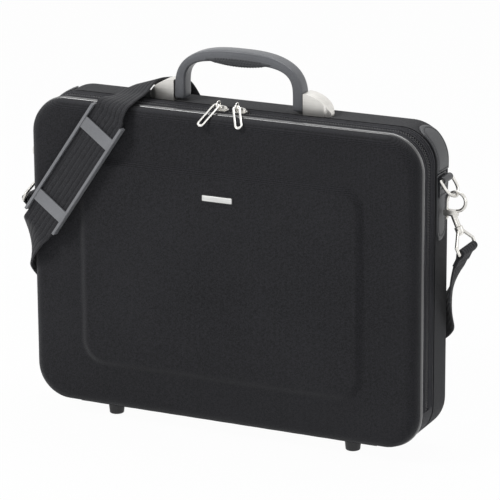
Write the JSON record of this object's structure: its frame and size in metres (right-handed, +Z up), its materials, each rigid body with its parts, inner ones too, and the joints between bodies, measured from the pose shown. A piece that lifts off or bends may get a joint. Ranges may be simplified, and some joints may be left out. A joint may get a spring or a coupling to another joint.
{
  "type": "laptop hard case",
  "caption": "Zipped laptop hard case with a moulded fabric shell, folding handle, feet, snap hooks and shoulder strap.",
  "frame": {"origin": "centre of the overall box, on the floor under the feet", "axes": "+X along the case's width, the front looks along -Y, +Z up"},
  "size_m": [0.4828, 0.1096, 0.3865],
  "materials": {
    "shell_fabric": "moulded woven fabric",
    "lining": "knitted lining",
    "tape": "woven tape",
    "coil": "moulded coil",
    "piping": "glossy",
    "patch": "embossed, semi-gloss",
    "nickel": "satin nickel",
    "steel": "plain",
    "foot_rubber": "matte",
    "foam": "covered foam",
    "webbing": "ribbed webbing",
    "black_plastic": "satin",
    "badge_metal": "brushed",
    "grey_plastic": "satin",
    "insert_rubber": "studded",
    "zip_metal": "polished nickel"
  },
  "bodies": {
    "body": {"rear_shell": "shell_fabric", "rear_lining": "lining", "rear_zip_tape": "tape", "rear_zip_coil": "coil", "bottom_gusset": "tape", "hinge_tape": "tape", "corner_patch_left": "patch", "corner_patch_right": "patch", "side_patch_left": "patch", "side_patch_right": "patch", "side_loop_left": "patch", "side_loop_right": "patch", "handle_cap_left": "nickel", "handle_cap_right": "nickel", "handle_pins": "steel", "handle_plate": "steel", "handle_screws": "steel", "feet": "foot_rubber", "feet_screws": "steel", "zip_stops": "steel", "cradle_pads": "foam", "retaining_belt": "webbing", "strap_webbing": "webbing", "strap_tail_left": "webbing", "strap_tail_right": "webbing", "strap_adjuster": "black_plastic"},
    "lid": {"front_shell": "shell_fabric", "front_lining": "lining", "front_piping": "piping", "front_zip_tape": "tape", "front_zip_coil": "coil", "badge": "badge_metal", "lid_pocket": "lining"},
    "handle": {"handle_grip": "grey_plastic", "handle_insert": "insert_rubber"},
    "slider_left": {"zip_slider_left": "zip_metal"},
    "slider_right": {"zip_slider_right": "zip_metal"},
    "link_left": {"slider_link_left": "zip_metal"},
    "link_right": {"slider_link_right": "zip_metal"},
    "pull_left": {"zip_pull_left": "zip_metal"},
    "pull_right": {"zip_pull_right": "zip_metal"},
    "ring_left": {"d_ring_left": "nickel"},
    "ring_right": {"d_ring_right": "nickel"},
    "hook_left": {"snap_hook_left": "nickel"},
    "hook_right": {"snap_hook_right": "nickel"},
    "gate_left": {"hook_gate_left": "nickel"},
    "gate_right": {"hook_gate_right": "nickel"},
    "eye_left": {"strap_eye_left": "nickel", "strap_end_loop_left": "webbing"},
    "eye_right": {"strap_eye_right": "nickel", "strap_end_loop_right": "webbing"},
    "pad": {"shoulder_pad": "grey_plastic"}
  },
  "joints": [
    {"name": "lid_open", "type": "hinge", "parent": "body", "child": "lid", "pos_m": [0, -0.02305, 0.014], "axis": [1, 0, 0], "range_deg": [0, 90], "deforming": ["hinge_tape", "strap_webbing", "strap_tail_left", "strap_tail_right", "shoulder_pad"]},
    {"name": "handle_fold", "type": "hinge", "parent": "body", "child": "handle", "pos_m": [0, 0.01265, 0.3405], "axis": [1, 0, 0], "range_deg": [-60, 60]},
    {"name": "slider_left_run", "type": "slide", "parent": "lid", "child": "slider_left", "axis": [-1, 0, 0], "range_m": [0, 0.06]},
    {"name": "slider_right_run", "type": "slide", "parent": "lid", "child": "slider_right", "axis": [1, 0, 0], "range_m": [0, 0.15]},
    {"name": "link_left_swing", "type": "hinge", "parent": "slider_left", "child": "link_left", "pos_m": [-0.01, -0.01625, 0.3353], "axis": [1, 0, 0], "range_deg": [-50, 0]},
    {"name": "pull_left_swing", "type": "hinge", "parent": "link_left", "child": "pull_left", "pos_m": [-0.01, -0.02045, 0.3379], "axis": [0.9724, -0.2001, -0.1202], "range_deg": [-60, 0]},
    {"name": "link_right_swing", "type": "hinge", "parent": "slider_right", "child": "link_right", "pos_m": [0.01, -0.01625, 0.3353], "axis": [1, 0, 0], "range_deg": [-50, 0]},
    {"name": "pull_right_swing", "type": "hinge", "parent": "link_right", "child": "pull_right", "pos_m": [0.01, -0.02045, 0.3379], "axis": [0.8949, 0.3825, 0.2298], "range_deg": [-60, 0]},
    {"name": "ring_left_swing", "type": "hinge", "parent": "body", "child": "ring_left", "pos_m": [-0.2147, 0.01665, 0.2795], "axis": [0, 1, 0], "range_deg": [-1, 30], "deforming": ["strap_tail_left"]},
    {"name": "hook_left_swing", "type": "hinge", "parent": "ring_left", "child": "hook_left", "pos_m": [-0.22583, 0.01665, 0.26361], "axis": [0, 1, 0], "range_deg": [-3, 25], "deforming": ["strap_tail_left"]},
    {"name": "gate_left_open", "type": "hinge", "parent": "hook_left", "child": "gate_left", "pos_m": [-0.21633, 0.01665, 0.24651], "axis": [0, 1, 0], "range_deg": [-20, 0], "stiffness_Nm_per_rad": 0.01, "springref_deg": 11.46},
    {"name": "eye_left_swivel", "type": "hinge", "parent": "hook_left", "child": "eye_left", "pos_m": [-0.22333, 0.01665, 0.24311], "axis": [0.4067, 0, 0.9135], "range_deg": [-45, 45], "deforming": ["strap_tail_left"]},
    {"name": "ring_right_swing", "type": "hinge", "parent": "body", "child": "ring_right", "pos_m": [0.2147, 0.01665, 0.2795], "axis": [0, 1, 0], "range_deg": [-30, 1], "deforming": ["strap_tail_right"]},
    {"name": "hook_right_swing", "type": "hinge", "parent": "ring_right", "child": "hook_right", "pos_m": [0.22583, 0.01665, 0.26361], "axis": [0, 1, 0], "range_deg": [-25, 3], "deforming": ["strap_tail_right"]},
    {"name": "gate_right_open", "type": "hinge", "parent": "hook_right", "child": "gate_right", "pos_m": [0.21633, 0.01665, 0.24651], "axis": [0, 1, 0], "range_deg": [0, 20], "stiffness_Nm_per_rad": 0.01, "springref_deg": -11.46},
    {"name": "eye_right_swivel", "type": "hinge", "parent": "hook_right", "child": "eye_right", "pos_m": [0.22333, 0.01665, 0.24311], "axis": [-0.4067, 0, 0.9135], "range_deg": [-45, 45], "deforming": ["strap_tail_right"]},
    {"name": "pad_slide", "type": "slide", "parent": "body", "child": "pad", "axis": [-0.5592, 0, -0.829], "range_m": [-0.01, 0.01]}
  ]
}
